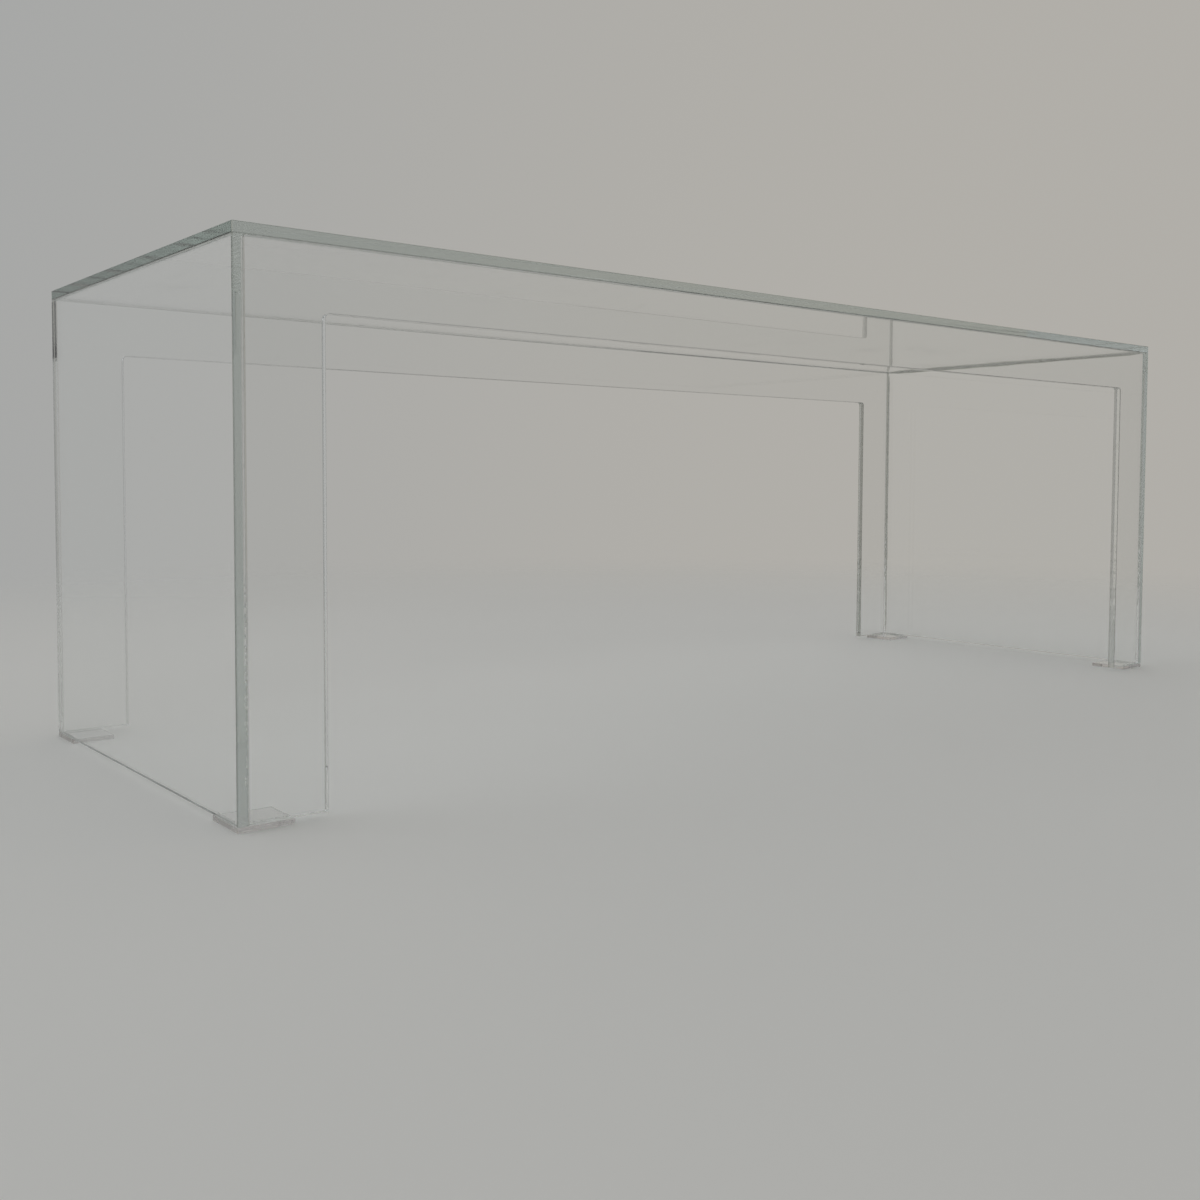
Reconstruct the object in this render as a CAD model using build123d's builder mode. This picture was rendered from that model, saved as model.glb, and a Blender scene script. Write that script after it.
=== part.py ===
from build123d import *
import os

# Free-standing clear acrylic sneeze guard for a buffet counter: an open-bottomed box of five
# sheets cemented edge to face. A full top sheet lies on two full end panels. A one-piece front
# panel and an equal rear panel, each an inverted U, stand between the end panels, so that hands
# and trays pass under their headers. Four small pads cemented under the corners carry it.
#
# Frame: X runs along the counter, -Y faces the customer and Z is up. The origin is on the
# counter, under the middle of the guard.

# ---- driving dimensions, millimetres ----
LENGTH = 914.4  # along the counter, 36 in
DEPTH = 298.5  # from the customer's side to the server's side, 11 3/4 in
HEIGHT = 304.8  # from the counter to the top face, 12 in
SHEET = 6.0  # gauge of all five acrylic sheets
LEG_WIDTH = 50.8  # from a side's outer face to the opening, 2 in
OPENING_DROP = 41.5  # from the top face down to the opening
OPENING_RADIUS = 3.0  # cutter radius in the opening's two corners
TOP_CORNER_RADIUS = 0.8  # touch on the top sheet's four corners
EASED_EDGE = 0.4  # arris taken off every edge that a hand can reach
PAD_SIDE = 32.0  # the corner pads are square
PAD_THICKNESS = 2.8
PAD_CORNER_RADIUS = 1.0
SEAM = 0.15  # film of cured cement between two sheets
PAD_SEAM = 0.2  # thicker film under the sawn lower edges
SEAM_INSET = 0.5  # cement stops this far short of an exposed face

# ---- worked out from them ----
HALF_LENGTH = LENGTH / 2
HALF_DEPTH = DEPTH / 2
UPRIGHT_BOTTOM = PAD_THICKNESS + PAD_SEAM
TOP_UNDERSIDE = HEIGHT - SHEET
UPRIGHT_TOP = TOP_UNDERSIDE - SEAM
UPRIGHT_HEIGHT = UPRIGHT_TOP - UPRIGHT_BOTTOM
UPRIGHT_MIDDLE = (UPRIGHT_TOP + UPRIGHT_BOTTOM) / 2
INNER_HALF_LENGTH = HALF_LENGTH - SHEET  # to the inner face of an end panel
LONG_PANEL_LENGTH = 2 * (INNER_HALF_LENGTH - SEAM)
OPENING_HALF = HALF_LENGTH - LEG_WIDTH
OPENING_TOP = HEIGHT - OPENING_DROP
OPENING_HEIGHT = OPENING_TOP - UPRIGHT_BOTTOM
SEAM_WIDTH = SHEET - 2 * SEAM_INSET
REACH = 0.01  # slack on a selector's limits

SIDES = {"left": -1, "right": 1}
FACES = {"front": -1, "rear": 1}

os.makedirs("parts", exist_ok=True)


def save(piece, name):
    """Label a finished piece and write it to its own file."""
    piece.part.label = name
    export_step(piece.part, f"parts/{name}.step")


# ---- top sheet, lying over all four uprights and flush with their outer faces ----
with BuildPart() as top_panel:
    with BuildSketch(Plane.XY.offset(TOP_UNDERSIDE)):
        RectangleRounded(LENGTH, DEPTH, TOP_CORNER_RADIUS)
    extrude(amount=SHEET)
    chamfer(top_panel.edges().group_by(Axis.Z)[-1], length=EASED_EDGE)
save(top_panel, "top_panel")

# ---- end panels, the full depth of the guard ----
for side, way in SIDES.items():
    with BuildPart() as end_panel:
        with BuildSketch(Plane.YZ.offset(way * (HALF_LENGTH - SHEET / 2))):
            with Locations((0, UPRIGHT_MIDDLE)):
                Rectangle(DEPTH, UPRIGHT_HEIGHT)
        extrude(amount=SHEET / 2, both=True)
        by_x = end_panel.edges().filter_by(Axis.Z).group_by(Axis.X)
        outer_corners = by_x[0] if way < 0 else by_x[-1]
        lower_edges = end_panel.edges().group_by(Axis.Z)[0].filter_by(Axis.Y)
        chamfer(outer_corners + lower_edges, length=EASED_EDGE)
    save(end_panel, f"{side}_end_panel")

# ---- front and rear panels: a header and two legs cut from one sheet ----
for face, way in FACES.items():
    with BuildPart() as long_panel:
        with BuildSketch(Plane.XZ.offset(-way * (HALF_DEPTH - SHEET / 2))) as profile:
            with Locations((0, UPRIGHT_MIDDLE)):
                Rectangle(LONG_PANEL_LENGTH, UPRIGHT_HEIGHT)
            with Locations((0, UPRIGHT_BOTTOM + OPENING_HEIGHT / 2)):
                Rectangle(2 * OPENING_HALF, OPENING_HEIGHT, mode=Mode.SUBTRACT)
            fillet(profile.vertices().group_by(Axis.Y)[1], radius=OPENING_RADIUS)
        extrude(amount=SHEET / 2, both=True)
        along = long_panel.edges() - long_panel.edges().filter_by(Axis.Y)
        cut_edges = along.filter_by_position(Axis.Z, 0, OPENING_TOP + REACH).filter_by_position(
            Axis.X, -OPENING_HALF - REACH, OPENING_HALF + REACH
        )
        lower_edges = along.group_by(Axis.Z)[0]
        chamfer(cut_edges + lower_edges, length=EASED_EDGE)
    save(long_panel, f"{face}_panel")

# ---- cement under the top sheet, over the upper edges of the end panels ----
for side, way in SIDES.items():
    with BuildPart() as end_seam:
        with BuildSketch(Plane.XY.offset(UPRIGHT_TOP)):
            with Locations((way * (HALF_LENGTH - SHEET / 2), 0)):
                Rectangle(SEAM_WIDTH, DEPTH - 2 * SEAM_INSET)
        extrude(amount=SEAM)
    save(end_seam, f"top_{side}_cement")

# ---- cement under the top sheet, over the upper edges of the front and rear panels ----
for face, way in FACES.items():
    with BuildPart() as long_seam:
        with BuildSketch(Plane.XY.offset(UPRIGHT_TOP)):
            with Locations((0, way * (HALF_DEPTH - SHEET / 2))):
                Rectangle(LONG_PANEL_LENGTH, SEAM_WIDTH)
        extrude(amount=SEAM)
    save(long_seam, f"top_{face}_cement")

# ---- the four corners: an upright seam, a pad, and the cement that holds the pad ----
for face, face_way in FACES.items():
    for side, side_way in SIDES.items():
        corner = f"{face}_{side}"

        # the end edge of the long panel is cemented to the end panel's inner face
        with BuildPart() as corner_seam:
            with BuildSketch(Plane.XY.offset(UPRIGHT_BOTTOM)):
                seam_x = side_way * (INNER_HALF_LENGTH - SEAM / 2)
                seam_y = face_way * (HALF_DEPTH - SHEET / 2)
                with Locations((seam_x, seam_y)):
                    Rectangle(SEAM, SEAM_WIDTH)
            extrude(amount=UPRIGHT_HEIGHT)
        save(corner_seam, f"{corner}_corner_cement")

        # square pad, its outer corner flush with the guard's
        with BuildPart() as pad:
            with BuildSketch(Plane.XY):
                pad_x = side_way * (HALF_LENGTH - PAD_SIDE / 2)
                pad_y = face_way * (HALF_DEPTH - PAD_SIDE / 2)
                with Locations((pad_x, pad_y)):
                    RectangleRounded(PAD_SIDE, PAD_SIDE, PAD_CORNER_RADIUS)
            extrude(amount=PAD_THICKNESS)
            rims = pad.edges().group_by(Axis.Z)
            chamfer(rims[0] + rims[-1], length=EASED_EDGE)
        save(pad, f"{corner}_foot_pad")

        # L-shaped film where the two lower edges meet the pad
        with BuildPart() as pad_seam:
            with BuildSketch(Plane.XY.offset(PAD_THICKNESS)):
                with Locations((pad_x, pad_y)):
                    Rectangle(PAD_SIDE - 2 * SEAM_INSET, PAD_SIDE - 2 * SEAM_INSET)
                room_x = pad_x - side_way * (SHEET - SEAM_INSET)
                room_y = pad_y - face_way * (SHEET - SEAM_INSET)
                with Locations((room_x, room_y)):
                    Rectangle(PAD_SIDE, PAD_SIDE, mode=Mode.SUBTRACT)
            extrude(amount=PAD_SEAM)
        save(pad_seam, f"{corner}_pad_cement")
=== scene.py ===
"""Clear acrylic sneeze guard: its looks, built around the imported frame.

Five sheets of clear acrylic, the cured cement between them and four corner pads are rebuilt here
as finished pieces, and stand on a pale studio floor. Everything is in metres.
"""

import logging
import math
import random
from dataclasses import dataclass
from enum import Enum

import bmesh
import bpy
from mathutils import Matrix, Vector
from mathutils import noise


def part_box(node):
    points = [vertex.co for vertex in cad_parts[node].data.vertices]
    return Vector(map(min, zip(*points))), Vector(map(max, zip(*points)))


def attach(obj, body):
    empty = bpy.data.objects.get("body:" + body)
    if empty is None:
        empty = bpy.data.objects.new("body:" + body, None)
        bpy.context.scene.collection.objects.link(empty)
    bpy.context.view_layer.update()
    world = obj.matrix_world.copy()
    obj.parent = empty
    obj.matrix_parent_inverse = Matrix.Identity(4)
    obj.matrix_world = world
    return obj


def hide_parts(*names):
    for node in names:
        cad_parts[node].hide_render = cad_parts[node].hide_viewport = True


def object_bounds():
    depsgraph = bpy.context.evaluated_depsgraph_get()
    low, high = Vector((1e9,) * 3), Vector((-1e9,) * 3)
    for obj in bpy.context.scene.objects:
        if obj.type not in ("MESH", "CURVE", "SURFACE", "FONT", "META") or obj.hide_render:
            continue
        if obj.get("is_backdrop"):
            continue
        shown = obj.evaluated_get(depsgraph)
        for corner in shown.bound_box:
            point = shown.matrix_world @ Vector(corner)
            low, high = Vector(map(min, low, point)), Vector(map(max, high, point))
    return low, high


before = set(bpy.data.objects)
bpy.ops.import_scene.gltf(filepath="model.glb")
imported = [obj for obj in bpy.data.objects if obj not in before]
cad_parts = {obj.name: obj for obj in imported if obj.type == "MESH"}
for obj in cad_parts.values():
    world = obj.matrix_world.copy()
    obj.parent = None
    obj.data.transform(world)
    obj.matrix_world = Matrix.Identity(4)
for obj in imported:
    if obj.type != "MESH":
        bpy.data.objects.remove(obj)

CAD_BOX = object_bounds()
LOG = logging.getLogger("sneeze_guard")
BODY = "root"
MM = 0.001
ACRYLIC_IOR = 1.49
# mesh attribute of how a face was cut: 0 a sheet's broad face, 1 a sawn edge, 2 where that is eased
CUT_EDGE = "cut_edge"
# mesh attribute of how fully cement wets a joint face: 0 where there is no joint
WETTED = "wetted"
FLAT = 0.999  # a face looks along an axis when its normal has at least this much of it
ON_PLANE = 1e-7  # a vertex this near a cutting plane lies on it

Node = bpy.types.Node
Socket = bpy.types.NodeSocket
Material = bpy.types.Material
Tree = bpy.types.NodeTree
Piece = bpy.types.Object
Mesh = bmesh.types.BMesh
Face = bmesh.types.BMFace
Vert = bmesh.types.BMVert
Colour = tuple[float, float, float]
Place = tuple[float, float, float]
Group = tuple[Tree, "Graph", Node, Node]


class Axis(Enum):
    """A direction in space, by its place in a vector."""

    X = 0
    Y = 1
    Z = 2


class Slot(Enum):
    """The record's material slots."""

    SHEET = "acrylic_sheet"
    PAD = "foot_pad"
    CEMENT = "cured_cement"


# ---- node helpers ----


class Graph:
    """A small writer of node trees."""

    def __init__(self, tree: Tree) -> None:
        """Start from an empty tree.

        Args:
            tree: The node tree to fill.
        """
        self.tree = tree
        self.tree.nodes.clear()

    def add(self, kind: str, **inputs: object) -> Node:
        """Add a node and fill its inputs.

        Args:
            kind: The node's Blender type name.
            **inputs: Input names, with underscores for spaces, and a value or a socket for each.

        Returns:
            The new node.
        """
        node = self.tree.nodes.new(kind)
        for name, value in inputs.items():
            self.set(node.inputs[name.replace("_", " ")], value)
        return node

    def set(self, socket: Socket, value: object) -> None:
        """Give a socket a value, or link another socket to it.

        Args:
            socket: The input to fill.
            value: Its value, or the socket to link.
        """
        if isinstance(value, bpy.types.NodeSocket):
            self.tree.links.new(value, socket)
        else:
            socket.default_value = value

    def maths(self, operation: str, *values: object) -> Socket:
        """Add a Math node.

        Args:
            operation: The Math node's operation.
            *values: A value or a socket for each input.

        Returns:
            The result's socket.
        """
        node = self.tree.nodes.new("ShaderNodeMath")
        node.operation = operation
        for socket, value in zip(node.inputs, values):
            self.set(socket, value)
        return node.outputs[0]

    def ramp(self, value: Socket, low: float, high: float, start: float = 0.0, end: float = 1.0) -> Socket:
        """Map a stretch of values smoothly onto another.

        Args:
            value: The socket to map.
            low: Where the stretch starts.
            high: Where it ends.
            start: The result at low.
            end: The result at high.

        Returns:
            The mapped value's socket.
        """
        stretch = {"From_Min": low, "From_Max": high, "To_Min": start, "To_Max": end}
        node = self.add("ShaderNodeMapRange", Value=value, **stretch)
        node.interpolation_type = "SMOOTHSTEP"
        return node.outputs["Result"]

    def mix(self, kind: str, share: object, first: object, second: object) -> Socket:
        """Add a Mix node.

        Args:
            kind: What it mixes: RGBA for colours, FLOAT for numbers.
            share: How much of the second, from 0 to 1.
            first: A value or a socket.
            second: A value or a socket.

        Returns:
            The result's socket.
        """
        node = self.tree.nodes.new("ShaderNodeMix")
        node.data_type = kind
        for socket, value in zip([s for s in node.inputs if s.enabled], (share, first, second)):
            self.set(socket, value)
        return next(s for s in node.outputs if s.enabled)

    def blend(self, share: object, first: object, second: object) -> Socket:
        """Mix two colours by a share from 0 to 1 and return the result's socket."""
        return self.mix("RGBA", share, first, second)

    def lerp(self, share: object, first: object, second: object) -> Socket:
        """Mix two numbers by a share from 0 to 1 and return the result's socket."""
        return self.mix("FLOAT", share, first, second)

    def place(self, scale: Place = (1.0, 1.0, 1.0)) -> Socket:
        """Read the piece's own coordinates in metres.

        Args:
            scale: What each coordinate is multiplied by.

        Returns:
            The coordinates' socket.
        """
        where = self.tree.nodes.new("ShaderNodeTexCoord")
        return self.add("ShaderNodeMapping", Vector=where.outputs["Object"], Scale=scale).outputs[0]

    def attribute(self, name: str) -> Socket:
        """Read a mesh attribute and return its value's socket."""
        node = self.tree.nodes.new("ShaderNodeAttribute")
        node.attribute_name = name
        return node.outputs["Fac"]

    def clear_body(self, label: str, index: float, **inputs: object) -> Socket:
        """Add a fully clear Principled shader.

        Args:
            label: The node's label.
            index: Its index of refraction.
            **inputs: Its other inputs, as for add.

        Returns:
            The shader's socket.
        """
        node = self.add("ShaderNodeBsdfPrincipled", **inputs)
        node.inputs["Transmission Weight"].default_value = 1.0
        node.inputs["Metallic"].default_value = 0.0
        node.inputs["IOR"].default_value = index
        node.label = label
        return node.outputs[0]

    def mix_shaders(self, share: object, first: Socket, second: Socket) -> Socket:
        """Mix two shaders by a share from 0 to 1 and return the result's socket."""
        node = self.tree.nodes.new("ShaderNodeMixShader")
        for socket, value in zip(node.inputs, (share, first, second)):
            self.set(socket, value)
        return node.outputs[0]

    def pass_shadows(self, surface: Socket, tint: object) -> Socket:
        """Let the lamps' light straight through a clear surface.

        Args:
            surface: The surface's shader.
            tint: The colour that the light takes on.

        Returns:
            The joined shader's socket.
        """
        passed = self.add("ShaderNodeBsdfTransparent", Color=tint)
        path = self.tree.nodes.new("ShaderNodeLightPath")
        return self.mix_shaders(path.outputs["Is Shadow Ray"], surface, passed.outputs[0])


def new_group(name: str, inputs: dict[str, float], outputs: tuple[str, ...]) -> Group:
    """Make a shader node group with named float sockets.

    Args:
        name: The group's name.
        inputs: Each input's name and default.
        outputs: Each output's name.

    Returns:
        The group, a writer for it, and its input and output nodes.
    """
    tree = bpy.data.node_groups.new(name, "ShaderNodeTree")
    kind = "NodeSocketFloat"
    for label, default in inputs.items():
        socket = tree.interface.new_socket(name=label, in_out="INPUT", socket_type=kind)
        socket.default_value = default
    for label in outputs:
        tree.interface.new_socket(name=label, in_out="OUTPUT", socket_type=kind)
    graph = Graph(tree)
    return tree, graph, tree.nodes.new("NodeGroupInput"), tree.nodes.new("NodeGroupOutput")


def handling_marks() -> Tree:
    """Finger smears and fine wiping scratches on a clear face.

    Returns:
        The group, with masks of both.
    """
    inputs = {"Smear size": 9.0, "Scratch size": 60.0}
    tree, g, given, made = new_group("Handling marks", inputs, ("Smears", "Scratches"))
    smeared_from, smeared_to = 0.56, 0.80
    worn_from, worn_to = 0.50, 0.62
    hairline = 0.004
    where = g.place()
    size = given.outputs["Smear size"]
    patches = g.add("ShaderNodeTexNoise", Vector=where, Scale=size, Detail=3.0, Roughness=0.6)
    g.set(made.inputs["Smears"], g.ramp(patches.outputs["Fac"], smeared_from, smeared_to))
    spun = g.add("ShaderNodeMapping", Vector=where, Rotation=(0.5, 0.3, 0.7), Scale=(1.0, 0.05, 1.0))
    size = given.outputs["Scratch size"]
    wiped = g.add("ShaderNodeTexNoise", Vector=spun.outputs[0], Scale=size, Detail=0.0)
    off_line = g.maths("ABSOLUTE", g.maths("SUBTRACT", wiped.outputs["Fac"], 0.5))
    line = g.ramp(off_line, 0.0, hairline, 1.0, 0.0)
    worn = g.ramp(patches.outputs["Fac"], worn_from, worn_to)
    g.set(made.inputs["Scratches"], g.maths("MULTIPLY", line, worn))
    return tree


def fine_dust() -> Tree:
    """Sparse dust specks, thicker where the surface looks up.

    Returns:
        The group, with a mask of the specks.
    """
    tree, g, given, made = new_group("Fine dust", {"Speck size": 900.0, "Cover": 0.3}, ("Specks",))
    core, rim = 0.08, 0.2
    drift_size = 26.0
    on_upright = 0.25
    where = g.place()
    cells = g.add("ShaderNodeTexVoronoi", Vector=where, Scale=given.outputs["Speck size"])
    speck = g.ramp(cells.outputs["Distance"], core, rim, 1.0, 0.0)
    drift = g.add("ShaderNodeTexNoise", Vector=where, Scale=drift_size, Detail=1.0)
    lot = g.add("ShaderNodeSeparateColor", Color=cells.outputs["Color"])
    cover = g.maths("MULTIPLY", given.outputs["Cover"], drift.outputs["Fac"])
    kept = g.maths("LESS_THAN", lot.outputs[0], cover)
    surface = g.tree.nodes.new("ShaderNodeNewGeometry")
    looks = g.add("ShaderNodeSeparateXYZ", Vector=surface.outputs["Normal"])
    upward = g.ramp(looks.outputs["Z"], 0.1, 0.9, on_upright, 1.0)
    g.set(made.inputs["Specks"], g.maths("MULTIPLY", g.maths("MULTIPLY", speck, kept), upward))
    return tree


def sheet_ripple() -> Tree:
    """The slow waviness of a cast sheet.

    Returns:
        The group, with the waves' height from 0 to 1.
    """
    tree, g, given, made = new_group("Sheet ripple", {"Wave": 5.0}, ("Height",))
    slow = g.add("ShaderNodeTexNoise", Vector=g.place(), Scale=given.outputs["Wave"], Detail=1.0)
    g.set(made.inputs["Height"], slow.outputs["Fac"])
    return tree


def cut_marks() -> Tree:
    """The faint ridges that a saw and a polishing buff leave across a sheet's edge.

    Returns:
        The group, with the ridges' height and a mask of hazy stretches.
    """
    tree, g, given, made = new_group("Cut marks", {"Pitch": 420.0}, ("Ridges", "Haze"))
    haze_size = 35.0
    hazy_from, hazy_to = 0.35, 0.75
    where = g.place((1.0, 1.0, 0.6))
    ridges = g.add("ShaderNodeTexNoise", Vector=where, Scale=given.outputs["Pitch"], Detail=1.0)
    g.set(made.inputs["Ridges"], ridges.outputs["Fac"])
    haze = g.add("ShaderNodeTexNoise", Vector=where, Scale=haze_size, Detail=2.0)
    g.set(made.inputs["Haze"], g.ramp(haze.outputs["Fac"], hazy_from, hazy_to))
    return tree


class Effects:
    """The node groups that several finishes share, each made once."""

    def __init__(self) -> None:
        """Build the groups."""
        self.marks = handling_marks()
        self.dust = fine_dust()
        self.ripple = sheet_ripple()
        self.cuts = cut_marks()

    @staticmethod
    def put(graph: Graph, group: Tree, **values: float) -> Node:
        """Place a group in a tree with its own values.

        Args:
            graph: The writer of the tree.
            group: The group to place.
            **values: Input names, with underscores for spaces, and a value for each.

        Returns:
            The new node.
        """
        node = graph.tree.nodes.new("ShaderNodeGroup")
        node.node_tree = group
        for name, value in values.items():
            node.inputs[name.replace("_", " ")].default_value = value
        return node


# ---- finishes ----


@dataclass(frozen=True)
class ClearAcrylic:
    """Clear cast acrylic: nearly colourless through its faces, grey-green along its length, with painted
    shade darkening its eased arrises.
    """

    name: str
    face_tint: Colour = (0.990, 0.994, 0.992)
    edge_tint: Colour = (0.60, 0.615, 0.595)
    # painted shade: a darker tint on the eased arrises draws the dark line that a rounded edge shows
    eased_shade_tint: Colour = (0.54, 0.55, 0.54)
    dust_tint: Colour = (0.55, 0.56, 0.55)
    dust_share: float = 0.35
    body_colour: Colour = (0.11, 0.54, 0.41)
    body_density: float = 0.37
    dyed_edge: float = 0.0
    edge_roughness: float = 0.09
    least_haze: float = 0.5
    smear_roughness: float = 0.07
    scratch_roughness: float = 0.12
    ripple_height: float = 0.00003
    cut_height: float = 0.0000015
    bubble_size: float = 420.0
    bubble_rim: float = 0.01
    face_shadow: Colour = (0.965, 0.970, 0.968)
    edge_shadow: Colour = (0.42, 0.45, 0.43)

    def wetted(self, g: Graph) -> Socket:
        """Mask where cement has run into a joint, and not the bubbles where it hasn't.

        Args:
            g: The material's writer.

        Returns:
            The mask's socket.
        """
        cloud = g.add("ShaderNodeTexNoise", Vector=g.place(), Scale=self.bubble_size, Detail=2.0)
        dry = g.maths("SUBTRACT", 1.0, g.attribute(WETTED))
        reach = g.maths("SUBTRACT", cloud.outputs["Fac"], dry)
        return g.ramp(reach, -self.bubble_rim, self.bubble_rim)

    def make(self, effects: Effects) -> Material:
        """Build the material.

        Args:
            effects: The shared node groups.

        Returns:
            The finished material.
        """
        material = bpy.data.materials.new(self.name)
        material.use_nodes = True
        g = Graph(material.node_tree)
        cut = g.attribute(CUT_EDGE)
        share = g.maths("MINIMUM", cut, 1.0)
        eased = g.maths("SUBTRACT", cut, share)
        marks = effects.put(g, effects.marks)
        dust = effects.put(g, effects.dust)
        cuts = effects.put(g, effects.cuts)
        ripple = effects.put(g, effects.ripple)

        side = g.tree.nodes.new("ShaderNodeNewGeometry")
        dyed = g.maths("MAXIMUM", side.outputs["Backfacing"], self.dyed_edge)
        sawn = g.blend(g.maths("MULTIPLY", share, dyed), (*self.face_tint, 1), (*self.edge_tint, 1))
        # painted shade: every eased arris is darkened, drawing a dark line along each edge
        tint = g.blend(eased, sawn, (*self.eased_shade_tint, 1))
        specks = g.maths("MULTIPLY", dust.outputs["Specks"], self.dust_share)
        dusty = g.blend(specks, tint, (*self.dust_tint, 1))

        smeared = g.maths("MULTIPLY", marks.outputs["Smears"], self.smear_roughness)
        scratched = g.maths("MULTIPLY", marks.outputs["Scratches"], self.scratch_roughness)
        on_face = g.maths("ADD", smeared, scratched)
        least = self.least_haze * self.edge_roughness
        hazed = g.maths("MULTIPLY_ADD", cuts.outputs["Haze"], self.edge_roughness, least)
        rough = g.lerp(share, on_face, hazed)

        waves = g.maths("MULTIPLY", ripple.outputs["Height"], self.ripple_height)
        ridges = g.maths("MULTIPLY", cuts.outputs["Ridges"], self.cut_height)
        on_faces = g.maths("MULTIPLY", waves, g.maths("SUBTRACT", 1.0, share))
        height = g.maths("ADD", g.maths("MULTIPLY", ridges, share), on_faces)
        bump = g.add("ShaderNodeBump", Height=height, Strength=1.0, Distance=1.0)

        look = {"Base_Color": dusty, "Roughness": rough, "Normal": bump.outputs[0]}
        body = g.clear_body("Clear body", ACRYLIC_IOR, **look)
        joint = g.clear_body("Wetted joint", 1.0, Base_Color=(1, 1, 1, 1), Roughness=0.0)
        held = g.mix_shaders(self.wetted(g), body, joint)
        shadow = g.blend(share, (*self.face_shadow, 1), (*self.edge_shadow, 1))
        surface = g.pass_shadows(held, shadow)
        depth = g.add("ShaderNodeVolumeAbsorption", Color=(*self.body_colour, 1), Density=self.body_density)
        g.add("ShaderNodeOutputMaterial", Surface=surface, Volume=depth.outputs[0])
        return material


@dataclass(frozen=True)
class CuredCement:
    """Clear acrylic cement. Between sheets it has their own index, and squeezed out it is a milky gel."""

    name: str
    index: float
    clear_tint: Colour = (0.99, 0.992, 0.99)
    milky_tint: Colour = (0.90, 0.91, 0.89)
    milky_roughness: float = 0.12
    milky_from: float = 0.50
    milky_to: float = 0.72
    cloud_size: float = 220.0
    lump_pitch: float = 900.0
    lump_height: float = 0.00006
    shadow: Colour = (0.96, 0.97, 0.96)

    def make(self, effects: Effects) -> Material:
        """Build the material.

        Args:
            effects: The shared node groups.

        Returns:
            The finished material.
        """
        material = bpy.data.materials.new(self.name)
        material.use_nodes = True
        g = Graph(material.node_tree)
        cloud = g.add("ShaderNodeTexNoise", Vector=g.place(), Scale=self.cloud_size, Detail=3.0)
        milky = g.ramp(cloud.outputs["Fac"], self.milky_from, self.milky_to)
        tint = g.blend(milky, (*self.clear_tint, 1), (*self.milky_tint, 1))
        rough = g.maths("MULTIPLY", milky, self.milky_roughness)
        lumps = effects.put(g, effects.cuts, Pitch=self.lump_pitch).outputs["Ridges"]
        bump = g.add("ShaderNodeBump", Height=lumps, Strength=1.0, Distance=self.lump_height)
        look = {"Base_Color": tint, "Roughness": rough, "Normal": bump.outputs[0]}
        gel = g.clear_body("Cement", self.index, **look)
        surface = g.pass_shadows(gel, (*self.shadow, 1))
        g.add("ShaderNodeOutputMaterial", Surface=surface)
        return material


@dataclass(frozen=True)
class PaintedFloor:
    """Pale matt studio floor that melts into the backdrop's light far from the guard."""

    name: str = "Pale floor"
    colour: Colour = (0.93, 0.93, 0.915)
    darker: Colour = (0.90, 0.90, 0.885)
    mottle_size: float = 0.8
    roughness: float = 0.8
    shine: float = 0.2
    fade_from: float = 0.45
    fade_to: float = 1.9

    def make(self) -> Material:
        """Build the material.

        Returns:
            The finished material.
        """
        material = bpy.data.materials.new(self.name)
        material.use_nodes = True
        g = Graph(material.node_tree)
        where = g.place()
        mottle = g.add("ShaderNodeTexNoise", Vector=where, Scale=self.mottle_size, Detail=3.0)
        share = g.ramp(mottle.outputs["Fac"], 0.3, 0.7)
        colour = g.blend(share, (*self.colour, 1), (*self.darker, 1))
        paint = g.add("ShaderNodeBsdfPrincipled", Base_Color=colour, Roughness=self.roughness)
        paint.inputs["Specular IOR Level"].default_value = self.shine
        far = g.tree.nodes.new("ShaderNodeVectorMath")
        far.operation = "LENGTH"
        g.set(far.inputs[0], where)
        gone = g.ramp(far.outputs["Value"], self.fade_from, self.fade_to)
        beyond = g.add("ShaderNodeBsdfTransparent").outputs[0]
        surface = g.mix_shaders(gone, paint.outputs[0], beyond)
        g.add("ShaderNodeOutputMaterial", Surface=surface)
        return material


# ---- mesh helpers ----


@dataclass(frozen=True)
class Box:
    """A node's place: its lowest and highest corners."""

    low: Vector
    high: Vector

    @classmethod
    def of(cls, node: str) -> "Box":
        """Read a node's box from the frame."""
        low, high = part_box(node)
        return cls(Vector(low), Vector(high))

    @property
    def size(self) -> Vector:
        """The box's three sides."""
        return self.high - self.low

    @property
    def middle(self) -> Vector:
        """The box's centre."""
        return (self.low + self.high) / 2


def piece_from(name: str, mesh: Mesh, finish: Material, slot: Slot, *nodes: str) -> Piece:
    """Turn a mesh into a finished piece that stands for CAD nodes.

    Args:
        name: The piece's name.
        mesh: Its mesh, which is freed.
        finish: Its material.
        slot: The record's slot for its finish; not used.
        *nodes: The CAD nodes that it replaces.

    Returns:
        The new object.
    """
    bmesh.ops.recalc_face_normals(mesh, faces=mesh.faces)
    data = bpy.data.meshes.new(name)
    mesh.to_mesh(data)
    mesh.free()
    data.materials.append(finish)
    piece = bpy.data.objects.new(name, data)
    bpy.context.scene.collection.objects.link(piece)
    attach(piece, BODY)
    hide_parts(*nodes)
    return piece


def arc(centre: Vector, radius: float, start: float, end: float, steps: int) -> list[Vector]:
    """Points along an arc, both ends included.

    Args:
        centre: The arc's centre, in the outline's plane.
        radius: Its radius.
        start: Its first angle, in degrees.
        end: Its last angle, in degrees.
        steps: How many chords it has.

    Returns:
        The points, in order.
    """
    turns = [math.radians(start + (end - start) * i / steps) for i in range(steps + 1)]
    return [centre + radius * Vector((math.cos(a), math.sin(a))) for a in turns]


def hollow(radius: float, steps: int) -> list[tuple[float, float]]:
    """The curve that a fingertip wipes into an inside corner.

    Args:
        radius: How far it reaches along each wall.
        steps: How many chords it has.

    Returns:
        Each point's distance along the first wall and along the second.
    """
    turns = [math.pi / 2 * k / steps for k in range(steps + 1)]
    return [(radius * (1 - math.sin(a)), radius * (1 - math.cos(a))) for a in turns]


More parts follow.
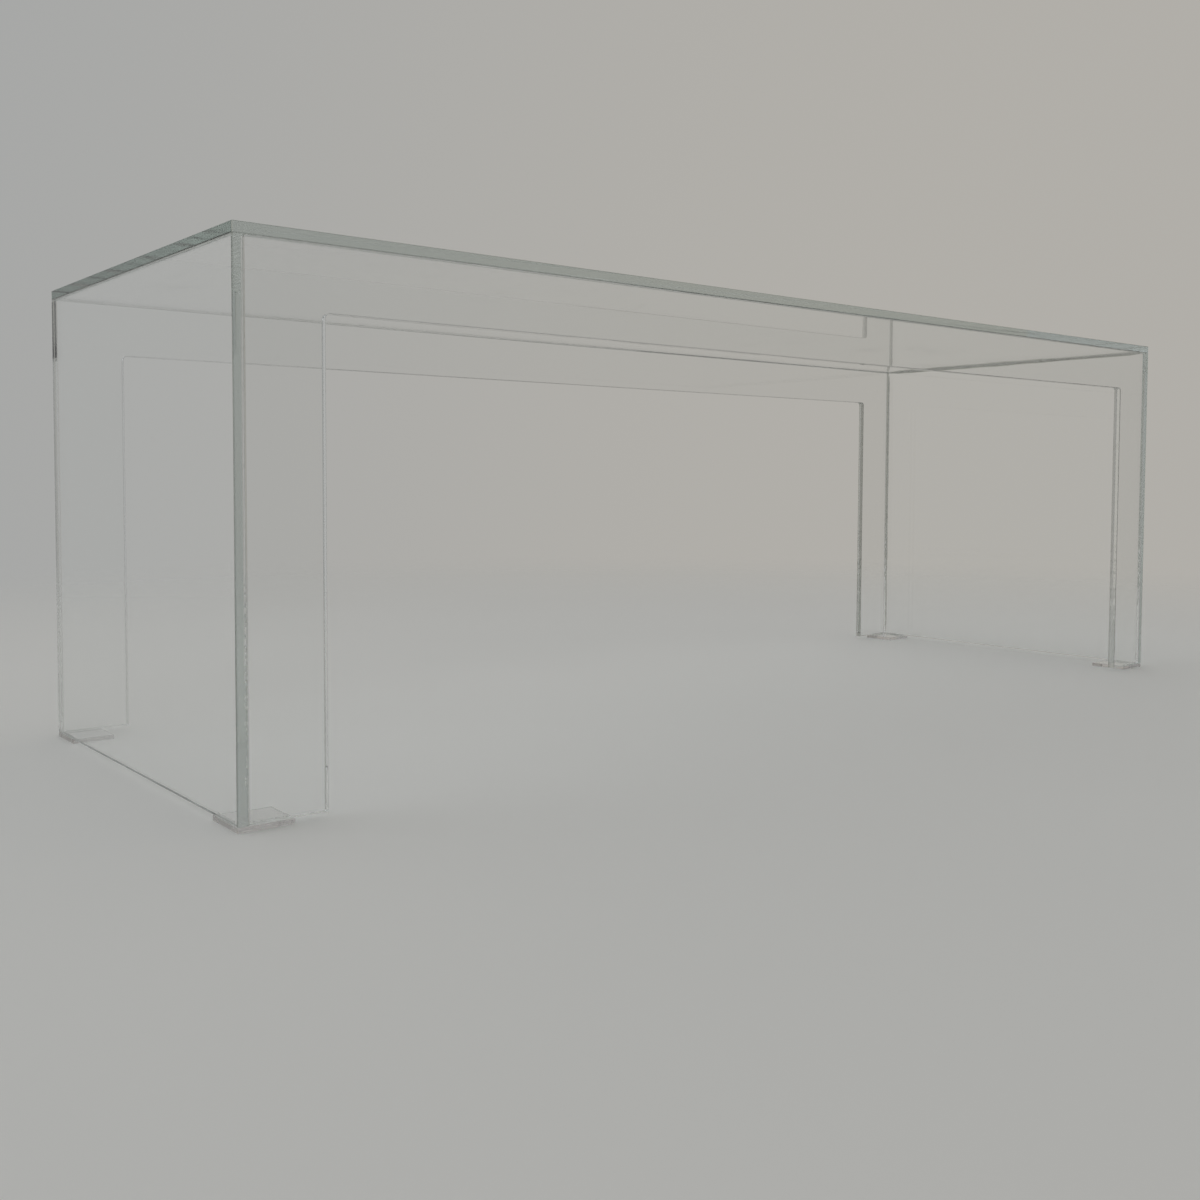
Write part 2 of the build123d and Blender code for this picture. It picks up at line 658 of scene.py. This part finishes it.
def skin(mesh: Mesh, rows: list[list[Vert]]) -> None:
    """Close a run of equal cross-sections into a solid.

    Args:
        mesh: The mesh that holds them.
        rows: Each section's vertices, in order around it.
    """
    mesh.faces.new(rows[0])
    mesh.faces.new(reversed(rows[-1]))
    for a, b in zip(rows, rows[1:]):
        for k in range(len(a)):
            m = (k + 1) % len(a)
            mesh.faces.new((a[k], b[k], b[m], a[m]))


# ---- the sheets ----


@dataclass
class Sheet:
    """A flat sheet with eased edges, cut to the box of its CAD node."""

    node: str
    name: str
    faces_along: Axis
    finish: Material
    joints: dict[str, tuple[float, ...]]
    arris: float = 0.45 * MM
    arris_steps: int = 3
    smallest: float = 0.001 * MM
    slot: Slot = Slot.SHEET

    def __post_init__(self) -> None:
        """Read the node's box."""
        self.box = Box.of(self.node)

    def outline(self) -> list[Vector]:
        """Draw the sheet's outline in its own plane, counter-clockwise.

        Returns:
            Its corners.
        """
        low, high = self.flat(self.box.low), self.flat(self.box.high)
        corners = ((low.x, low.y), (high.x, low.y), (high.x, high.y), (low.x, high.y))
        return [Vector(corner) for corner in corners]

    def flat(self, point: Vector) -> Vector:
        """Drop a point's thickness coordinate."""
        kept = [point[i] for i in range(3) if i != self.faces_along.value]
        return Vector(kept)

    def raised(self, point: Vector, thickness_at: float) -> Vector:
        """Put a plane point back into space at a place along the thickness."""
        values = list(point)
        values.insert(self.faces_along.value, thickness_at)
        return Vector(values)

    def solid(self) -> Mesh:
        """Cut the outline, thicken it and ease its edges.

        Returns:
            The sheet's mesh.
        """
        mesh = bmesh.new()
        axis = self.faces_along.value
        points = self.outline()
        levels = (self.box.low[axis], self.box.high[axis])
        skin(mesh, [[mesh.verts.new(self.raised(p, level)) for p in points] for level in levels])
        bmesh.ops.recalc_face_normals(mesh, faces=mesh.faces)
        broad = {face for face in mesh.faces if abs(face.normal[axis]) > FLAT}
        rims = [e for e in mesh.edges if len(broad.intersection(e.link_faces)) == 1]
        bmesh.ops.bevel(mesh, geom=rims, offset=self.arris, offset_type="OFFSET",
                        segments=self.arris_steps, profile=0.5, affect="EDGES", clamp_overlap=True)
        return mesh

    def cut(self, face: Face) -> float:
        """Tell a sheet's face (0) from its sawn edge (1) and its eased edge (2).

        Args:
            face: A face of the sheet.

        Returns:
            Its mark. The lower edge that an upright rests on counts as clear.
        """
        level = abs(face.normal[self.faces_along.value])
        underneath = face.normal.z < 0 and face.calc_center_median().z < self.box.low.z + self.arris
        rests = underneath and self.faces_along is not Axis.Z
        if level > FLAT or rests:
            return 0.0
        return 1.0 if level < 1 - FLAT else 2.0

    def wet(self, mesh: Mesh, joint: Box, covers: tuple[float, ...]) -> None:
        """Mark the faces that a joint's cement wets, cut to the cement's outline.

        Args:
            mesh: The sheet's mesh.
            joint: The cement's box.
            covers: How much of the joint is wetted, from 0 to 1, in equal lengths from its low end.
        """
        mark = mesh.faces.layers.float[WETTED]
        thin = min(range(3), key=lambda i: joint.size[i])
        across = [i for i in range(3) if i != thin]
        long = max(range(3), key=lambda i: joint.size[i])
        cuts = {axis: [joint.low[axis], joint.high[axis]] for axis in across}
        lengths = range(1, len(covers))
        cuts[long] += [joint.low[long] + joint.size[long] * k / len(covers) for k in lengths]

        def against(face: Face) -> bool:
            """True if the face lies in the joint's plane."""
            gap = abs(face.calc_center_median()[thin] - joint.middle[thin])
            return abs(face.normal[thin]) > FLAT and gap < joint.size[thin]

        for axis in across:
            for place in cuts[axis]:
                faces = [f for f in mesh.faces if against(f)]
                edges = {e for f in faces for e in f.edges}
                verts = {v for f in faces for v in f.verts}
                where = joint.middle.copy()
                where[axis] = place
                along = Vector([float(i == axis) for i in range(3)])
                bmesh.ops.bisect_plane(mesh, geom=[*faces, *edges, *verts], dist=ON_PLANE,
                                       plane_co=where, plane_no=along)
        for face in mesh.faces:
            middle = face.calc_center_bounds()
            if against(face) and all(joint.low[i] < middle[i] < joint.high[i] for i in across):
                share = (middle[long] - joint.low[long]) / joint.size[long]
                face[mark] = covers[int(share * len(covers))]

    def build(self) -> Piece:
        """Make the finished sheet.

        Returns:
            The new object.
        """
        mesh = self.solid()
        mesh.faces.layers.float.new(CUT_EDGE)
        mesh.faces.layers.float.new(WETTED)
        mark = mesh.faces.layers.float[CUT_EDGE]
        bmesh.ops.recalc_face_normals(mesh, faces=mesh.faces)
        for face in mesh.faces:
            face[mark] = self.cut(face)
        for node, covers in self.joints.items():
            self.wet(mesh, Box.of(node), covers)
        many_sided = [f for f in mesh.faces if len(f.verts) > 4]
        bmesh.ops.triangulate(mesh, faces=many_sided, ngon_method="EAR_CLIP")
        bmesh.ops.dissolve_degenerate(mesh, dist=self.smallest, edges=mesh.edges)
        return piece_from(self.name, mesh, self.finish, self.slot, self.node)


@dataclass
class TopSheet(Sheet):
    """The full sheet that lies over the four uprights, with its corners touched off."""

    corner_radius: float = 0.8 * MM
    corner_steps: int = 4

    def outline(self) -> list[Vector]:
        """Draw a rectangle with rounded corners.

        Returns:
            Its points, counter-clockwise.
        """
        low, high, r = self.flat(self.box.low), self.flat(self.box.high), self.corner_radius
        corners = ((low.x + r, low.y + r, 180), (high.x - r, low.y + r, 270),
                   (high.x - r, high.y - r, 0), (low.x + r, high.y - r, 90))
        return [p for x, y, a in corners for p in arc(Vector((x, y)), r, a, a + 90, self.corner_steps)]


@dataclass
class ArchedSheet(Sheet):
    """A front or rear sheet: a header between two legs, around an opening cut with a round tool."""

    leg_width: float = 50.8 * MM
    header_drop: float = 41.5 * MM
    opening_radius: float = 3.0 * MM
    corner_steps: int = 8
    buffed: float = 0.1

    @property
    def opening_half(self) -> float:
        """Half the opening's width."""
        return CAD_BOX[1][0] - self.leg_width

    def outline(self) -> list[Vector]:
        """Draw an inverted U, with its two inner corners round.

        Returns:
            Its points, from the right leg's foot around.
        """
        low, high, r = self.flat(self.box.low), self.flat(self.box.high), self.opening_radius
        side, top = self.opening_half, Box.of("top_panel").high.z - self.header_drop
        outer = ((high.x, low.y), (high.x, high.y), (low.x, high.y), (low.x, low.y))
        points = [Vector(corner) for corner in outer]
        points.append(Vector((-side, low.y)))
        points += arc(Vector((-side + r, top - r)), r, 180, 90, self.corner_steps)
        points += arc(Vector((side - r, top - r)), r, 90, 0, self.corner_steps)
        points.append(Vector((side, low.y)))
        return points

    def cut(self, face: Face) -> float:
        """As on a plain sheet, but the legs' edges in the opening are buffed clearer.

        Args:
            face: A face of the sheet.

        Returns:
            Its mark.
        """
        share = super().cut(face)
        inner = abs(face.calc_center_median().x) < self.opening_half + self.leg_width / 2
        return share * self.buffed if inner and abs(face.normal.x) > FLAT else share


# ---- cement and pads ----


@dataclass
class Fillet:
    """Cement squeezed out along the inside of a joint and wiped to a hollow corner."""

    corner: Vector
    inward: tuple[Vector, Vector]
    along: Axis
    reach: tuple[float, float]
    seed: int
    radius: float = 2.0 * MM
    step: float = 5.0 * MM
    clear_of: float = 0.03 * MM
    arc_steps: int = 5
    thinnest: float = 0.85
    swell: float = 0.35
    swell_pitch: float = 40.0
    seed_pitch: float = 5.3
    taper_rows: int = 3

    def add_to(self, mesh: Mesh) -> None:
        """Add the fillet to a film's mesh.

        Args:
            mesh: The film's mesh.
        """
        rows = []
        first, last = self.reach
        count = round((last - first) / self.step)
        one, two = self.inward
        for i in range(count + 1):
            at = first + (last - first) * i / count
            lump = noise.noise(Vector((at * self.swell_pitch, self.seed * self.seed_pitch, 0)))
            taper = min(1.0, (i + 1) / self.taper_rows, (count - i + 1) / self.taper_rows)
            radius = self.radius * (self.thinnest + self.swell * lump) * taper
            start = self.corner + self.clear_of * (one + two)
            start[self.along.value] = at
            curve = hollow(radius, self.arc_steps)
            rows.append([mesh.verts.new(p) for p in (start, *(start + a * one + b * two for a, b in curve))])
        skin(mesh, rows)


@dataclass
class CementFilm:
    """A film of cement in a straight joint, with ragged edges."""

    node: str
    name: str
    finish: Material
    seed: int
    fillet: Fillet | None = None
    thickness_share: float = 0.6
    ragged: float = 0.5 * MM
    ragged_pitch: float = 90.0
    side_pitch: float = 17.0
    least_bite: float = 0.3
    step: float = 3.0 * MM
    fewest: int = 4

    def build(self) -> Piece:
        """Make the film.

        Returns:
            The new object.
        """
        box, rng = Box.of(self.node), random.Random(self.seed)
        thin, wide, long = sorted(range(3), key=lambda i: box.size[i])
        mesh = bmesh.new()
        half = box.size[thin] * self.thickness_share / 2
        count = max(self.fewest, round(box.size[long] / self.step))
        rows = []
        for i in range(count + 1):
            at = box.low[long] + box.size[long] * i / count
            bites = []
            for side in (0, 1):
                spot = Vector((at * self.ragged_pitch + side * self.side_pitch, self.seed, side))
                bite = self.ragged * (0.5 + 0.5 * noise.noise(spot))
                bites.append(bite * rng.uniform(self.least_bite, 1.0))
            edges = (box.low[wide] + bites[0], box.high[wide] - bites[1])
            row = []
            for level, edge in ((-half, edges[0]), (-half, edges[1]), (half, edges[1]), (half, edges[0])):
                point = [0.0, 0.0, 0.0]
                point[thin], point[wide], point[long] = box.middle[thin] + level, edge, at
                row.append(mesh.verts.new(point))
            rows.append(row)
        skin(mesh, rows)
        if self.fillet:
            self.fillet.add_to(mesh)
        return piece_from(self.name, mesh, self.finish, Slot.CEMENT, self.node)


@dataclass
class PadCement:
    """Cement between a pad and the two lower edges on it, with a squeezed-out bead inside."""

    node: str
    name: str
    finish: Material
    seed: int
    sheet: float = 6.0 * MM
    thickness_share: float = 0.6
    thinnest_bead: float = 0.5 * MM
    thickest_bead: float = 2.8 * MM
    bead_steps: int = 5
    bead_pitch: float = 420.0
    seed_pitch: float = 7.7
    least_share: float = 0.75
    taper_rows: int = 3
    taper_from: float = 0.6
    step: float = 0.8 * MM
    clear_of: float = 0.03 * MM
    stray: float = 0.35 * MM
    stray_pitch: float = 260.0
    stray_seed_pitch: float = 3.1
    second_leg: float = 1.0
    inset: float = 0.5 * MM

    def __post_init__(self) -> None:
        """Read the node's box and find the guard's corner in it."""
        self.box = Box.of(self.node)
        self.outward = [math.copysign(1, self.box.middle[i]) for i in (0, 1)]
        self.corner = [(self.box.high if way > 0 else self.box.low)[i] for i, way in enumerate(self.outward)]
        self.reach = self.box.size.x
        self.band = self.sheet - 2 * self.inset

    def at(self, u: float, v: float) -> Vector:
        """Turn distances inwards from the guard's corner into a plan point."""
        return Vector((self.corner[0] - self.outward[0] * u, self.corner[1] - self.outward[1] * v))

    def wobble(self, s: float) -> float:
        """How far the film's inner edge strays at a place along it."""
        return self.stray * noise.noise(Vector((s * self.stray_pitch, self.seed * self.stray_seed_pitch, 0)))

    def plan(self) -> list[Vector]:
        """Draw the film's outline, an L with a ragged inner edge.

        Returns:
            Its points.
        """
        reach, band, at = self.reach, self.band, self.at
        run = round((reach - band) / self.step)
        points = [at(0, 0), at(reach, 0), at(reach, band)]
        for i in range(1, run):
            points.append(at(reach - (reach - band) * i / run, band + self.wobble(i * self.step)))
        points.append(at(band, band))
        for i in range(1, run):
            stray = self.wobble(self.second_leg + i * self.step)
            points.append(at(band + stray, band + (reach - band) * i / run))
        return points + [at(band, reach), at(0, reach)]

    def add_film(self, mesh: Mesh) -> None:
        """Add the film to the mesh."""
        plan = self.plan()
        half = self.box.size.z * self.thickness_share / 2
        levels = (self.box.middle.z - half, self.box.middle.z + half)
        skin(mesh, [[mesh.verts.new((*p, level)) for p in plan] for level in levels])

    def add_bead(self, mesh: Mesh, rng: random.Random, along_x: bool) -> None:
        """Add the bead along one leg of the L.

        Args:
            mesh: The mesh to add to.
            rng: The bead's random numbers.
            along_x: True for the leg that runs along the counter.
        """
        inner, floor = self.sheet - self.inset + self.clear_of, self.box.low.z + self.clear_of
        length = self.reach - inner - self.inset
        count = round(length / self.step)
        rows = []
        for i in range(count + 1):
            s = inner + length * i / count
            spot = Vector((s * self.bead_pitch + self.seed * self.seed_pitch, 3.0 * along_x, self.seed))
            swell = 0.5 + 0.5 * noise.noise(spot)
            more = (self.thickest_bead - self.thinnest_bead) * swell * rng.uniform(self.least_share, 1.0)
            ends = min(i, count - i) + self.taper_from
            radius = (self.thinnest_bead + more) * min(1.0, ends / self.taper_rows)
            row = []
            for out, up in ((0.0, 0.0), *hollow(radius, self.bead_steps)):
                point = self.at(s, inner + out) if along_x else self.at(inner + out, s)
                row.append(mesh.verts.new((*point, floor + up)))
            rows.append(row)
        skin(mesh, rows)

    def build(self) -> Piece:
        """Make the film and its two beads.

        Returns:
            The new object.
        """
        mesh, rng = bmesh.new(), random.Random(self.seed)
        self.add_film(mesh)
        for along_x in (True, False):
            self.add_bead(mesh, rng, along_x)
        return piece_from(self.name, mesh, self.finish, Slot.CEMENT, self.node)


@dataclass
class PadBlank(TopSheet):
    """A pad's own outline. Only its two sides at the guard's corner show their saw cut."""

    shown: float = 0.3

    def cut(self, face: Face) -> float:
        """As on a plain sheet, but the two sides under the guard are wetted clear by cement.

        Args:
            face: A face of the pad.

        Returns:
            Its mark.
        """
        outward = max(face.normal[i] * math.copysign(1, self.box.middle[i]) for i in (0, 1))
        return 0.0 if outward < self.shown else super().cut(face)


@dataclass
class FootPad:
    """A small square pad cut from clear sheet, with sawn edges."""

    node: str
    name: str
    finish: Material
    corner_radius: float = 1.0 * MM
    arris: float = 0.4 * MM
    corner_steps: int = 4

    def build(self) -> Piece:
        """Make the pad.

        Returns:
            The new object.
        """
        pad = PadBlank(self.node, self.name, Axis.Z, self.finish, {}, arris=self.arris, slot=Slot.PAD,
                       corner_radius=self.corner_radius, corner_steps=self.corner_steps)
        return pad.build()


# ---- the studio ----


@dataclass(frozen=True)
class SoftBox:
    """An area lamp that looks at the guard."""

    name: str
    place: Place
    size: tuple[float, float]
    watts: float
    colour: Colour
    looks_at: Place = (0.0, 0.0, 0.15)

    def hang(self) -> None:
        """Hang the lamp."""
        lamp = bpy.data.lights.new(self.name, "AREA")
        lamp.shape, lamp.size, lamp.size_y = "RECTANGLE", *self.size
        lamp.energy, lamp.color = self.watts, self.colour
        holder = bpy.data.objects.new(self.name, lamp)
        holder.location = self.place
        aim = Vector(self.looks_at) - Vector(self.place)
        holder.rotation_euler = aim.to_track_quat("-Z", "Y").to_euler()
        holder.visible_glossy = False
        bpy.context.scene.collection.objects.link(holder)


@dataclass
class Studio:
    """A pale floor in even light, soft boxes and the camera."""

    floor_radius: float = 8.0
    segments: int = 64
    floor_gap: float = 0.2 * MM
    boxes: tuple[SoftBox, ...] = (
        SoftBox("overhead_box", (0.5, -0.3, 2.6), (2.4, 2.0), 5.0, (1.0, 0.98, 0.95)),
        SoftBox("left_box", (-2.6, 0.6, 1.8), (1.6, 2.0), 9.0, (0.92, 0.96, 1.0)),
    )
    left_light: Colour = (0.45, 0.452, 0.446)
    front_light: Colour = (0.385, 0.390, 0.385)
    right_light: Colour = (0.44, 0.425, 0.395)
    left_until: float = 0.20
    front_at: float = 0.56
    right_from: float = 0.92
    room_side: float = 0.70
    dim_until: float = -0.35
    bright_from: float = 0.15
    light_guide_bounces: int = 56
    diffuse_bounces: int = 2
    eye: Place = (-0.7089, -0.7295, 0.1783)
    heading: float = -38.269
    looks_down: float = 2.657
    roll: float = 0.140
    sensor: float = 36.0
    lens: float = 37.07
    shift: tuple[float, float] = (0.0324, -0.0532)

    def floor(self) -> None:
        """Lay a round floor."""
        mesh = bmesh.new()
        bmesh.ops.create_circle(mesh, cap_ends=True, radius=self.floor_radius, segments=self.segments)
        data = bpy.data.meshes.new("studio_floor")
        mesh.to_mesh(data)
        mesh.free()
        data.materials.append(PaintedFloor().make())
        floor = bpy.data.objects.new("studio_floor", data)
        floor.location.z = -self.floor_gap
        bpy.context.scene.collection.objects.link(floor)
        floor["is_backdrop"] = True

    def lights(self) -> None:
        """Hang the soft boxes and light the room: cool on the left, warm on the right, dimmer in front."""
        for box in self.boxes:
            box.hang()
        world = bpy.data.worlds.new("studio_room")
        world.use_nodes = True
        g = Graph(world.node_tree)
        way = g.tree.nodes.new("ShaderNodeTexCoord")
        sides = g.add("ShaderNodeSeparateXYZ", Vector=way.outputs["Generated"])
        level = g.add("ShaderNodeMapRange", Value=sides.outputs["X"], From_Min=-1.0, From_Max=1.0)
        tones = g.add("ShaderNodeValToRGB", Fac=level.outputs["Result"])
        stops = tones.color_ramp
        stops.interpolation = "EASE"
        cool, front = stops.elements
        cool.position, cool.color = self.left_until, (*self.left_light, 1)
        front.position, front.color = self.front_at, (*self.front_light, 1)
        warm = stops.elements.new(self.right_from)
        warm.color = (*self.right_light, 1)
        level_y = g.ramp(sides.outputs["Y"], self.dim_until, self.bright_from, self.room_side, 1.0)
        back = g.add("ShaderNodeBackground", Color=tones.outputs["Color"], Strength=level_y)
        g.add("ShaderNodeOutputWorld", Surface=back.outputs[0])
        bpy.context.scene.world = world

    def camera(self) -> None:
        """Stand the camera off the front left corner, a little above the middle of the guard."""
        lens = bpy.data.cameras.new("camera")
        lens.sensor_width, lens.lens = self.sensor, self.lens
        lens.shift_x, lens.shift_y = self.shift
        holder = bpy.data.objects.new("camera", lens)
        place = Matrix.Translation(self.eye)
        turn = Matrix.Rotation(math.radians(self.heading), 4, "Z")
        tilt = Matrix.Rotation(math.radians(90 - self.looks_down), 4, "X")
        roll = Matrix.Rotation(math.radians(self.roll), 4, "Z")
        holder.matrix_world = place @ turn @ tilt @ roll
        bpy.context.scene.collection.objects.link(holder)
        bpy.context.scene.camera = holder

    def build(self) -> None:
        """Lay the floor, hang the lights and place the camera."""
        self.floor()
        self.lights()
        self.camera()
        scene = bpy.context.scene
        scene.view_settings.view_transform = "Standard"
        scene.cycles.max_bounces = self.light_guide_bounces
        scene.cycles.glossy_bounces = self.light_guide_bounces
        scene.cycles.transmission_bounces = self.light_guide_bounces
        scene.cycles.transparent_max_bounces = self.light_guide_bounces
        scene.cycles.diffuse_bounces = self.diffuse_bounces


# ---- the guard ----


def starved_joint() -> tuple[float, ...]:
    """How well cement wets an upright joint: badly at its foot, then almost fully.

    Returns:
        The wetted share of each equal length, from the foot up.
    """
    foot, rise, most, lengths = 0.28, 0.95, 0.95, 40
    return tuple(min(most, foot + rise * k / (lengths - 1)) for k in range(lengths))


Maker = Sheet | CementFilm | FootPad | PadCement


@dataclass
class Guard:
    """The whole guard: five sheets, the cement between them and four pads."""

    faces: tuple[str, str] = ("front", "rear")
    sides: tuple[str, str] = ("left", "right")
    end_arris: float = 0.6 * MM
    fillet_clear: float = 3 * MM
    top_fillet: float = 2.4 * MM
    upright_fillet: float = 1.6 * MM
    full: tuple[float, ...] = (0.90,)
    starved: tuple[float, ...] = starved_joint()

    def __post_init__(self) -> None:
        """Make the finishes."""
        effects = Effects()
        self.sheet = ClearAcrylic("Clear acrylic sheet").make(effects)
        offcut = ClearAcrylic(
            "Clear pad offcut", face_tint=(0.998, 0.997, 0.996), edge_tint=(0.57, 0.53, 0.53),
            # painted shade: the pad's eased arrises get a darker line too
            eased_shade_tint=(0.70, 0.66, 0.65), dyed_edge=1.0, edge_roughness=0.30, cut_height=0.00001,
            face_shadow=(0.985, 0.982, 0.98), edge_shadow=(0.95, 0.94, 0.93),
        )
        self.pad = offcut.make(effects)
        self.film = CuredCement("Cement between sheets", index=1.0).make(effects)
        # painted shade: the cement in the right end's inside corners is tinted dark grey, drawing the dark
        # lines along those seams
        wiped = CuredCement(
            "Corner cement with painted shade", index=ACRYLIC_IOR,
            # painted shade: both tints are dark grey so the corner fillets show as dark seam lines
            clear_tint=(0.74, 0.75, 0.72), milky_tint=(0.62, 0.63, 0.60),
        )
        self.squeezed = wiped.make(effects)
        self.gel = CuredCement("Squeezed-out cement", index=ACRYLIC_IOR).make(effects)

    def seams(self, *ways: str) -> dict[str, tuple[float, ...]]:
        """The cement nodes that a sheet meets and how well each is wetted along its length.

        Args:
            *ways: The nodes' names, without their ending.

        Returns:
            The wetted shares of each node.
        """
        return {f"{way}_cement": self.starved if way.endswith("_corner") else self.full for way in ways}

    def fillets(self) -> dict[str, Fillet]:
        """The joints at the right end where cement was squeezed out.

        Returns:
            The fillet of each joint.
        """
        end, rear, front, top = (Box.of(f"{part}_panel") for part in ("right_end", "rear", "front", "top"))
        left, forward, down = Vector((-1, 0, 0)), Vector((0, -1, 0)), Vector((0, 0, -1))
        clear = self.fillet_clear
        over = Fillet(Vector((end.low.x, 0, top.low.z)), (left, down), Axis.Y,
                      (front.high.y + clear, rear.low.y - clear), seed=1, radius=self.top_fillet)
        upright = Fillet(Vector((end.low.x, rear.low.y, 0)), (left, forward), Axis.Z,
                         (end.low.z + clear, end.high.z - clear), seed=2, radius=self.upright_fillet)
        return {"top_right": over, "rear_right_corner": upright}

    def build(self) -> list[Piece]:
        """Make every piece, in order, and report it.

        Returns:
            The finished pieces.
        """
        corners = [f"{face}_{side}" for face in self.faces for side in self.sides]
        tops = [f"top_{way}" for way in (*self.faces, *self.sides)]
        makers: list[Maker] = [
            TopSheet("top_panel", "top_sheet", Axis.Z, self.sheet, self.seams(*tops))
        ]
        for side in self.sides:
            met = [f"top_{side}"] + [c + end for c in corners if side in c for end in ("_corner", "_pad")]
            seams = self.seams(*met)
            makers.append(Sheet(f"{side}_end_panel", f"{side}_end_sheet", Axis.X, self.sheet, seams,
                                arris=self.end_arris))
        for face in self.faces:
            met = [f"top_{face}"] + [c + end for c in corners if face in c for end in ("_corner", "_pad")]
            seams = self.seams(*met)
            makers.append(ArchedSheet(f"{face}_panel", f"{face}_sheet", Axis.Y, self.sheet, seams))
        joints = tops + [f"{corner}_corner" for corner in corners]
        fillets = self.fillets()
        for seed, joint in enumerate(joints):
            # the corner fillets take the darker cement, whose tint is painted shade
            cement = self.squeezed if joint in fillets else self.film
            makers.append(CementFilm(f"{joint}_cement", f"{joint}_film", cement, seed, fillets.get(joint)))
        for seed, corner in enumerate(corners):
            makers.append(FootPad(f"{corner}_foot_pad", f"{corner}_pad", self.pad))
            makers.append(PadCement(f"{corner}_pad_cement", f"{corner}_pad_film", self.gel, seed))
        pieces = []
        for maker in makers:
            piece = maker.build()
            LOG.info("%s: %d faces", piece.name, len(piece.data.polygons))
            pieces.append(piece)
        return pieces


def main() -> None:
    """Build the studio and the guard, and work out both boxes."""
    logging.basicConfig(level=logging.INFO, format="%(message)s")
    Studio().build()
    Guard().build()
    bpy.context.view_layer.update()
    boxes = {"cad": CAD_BOX, "visual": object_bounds()}
    {name: [list(corner) for corner in box] for name, box in boxes.items()}


if __name__ == "__main__":
    main()
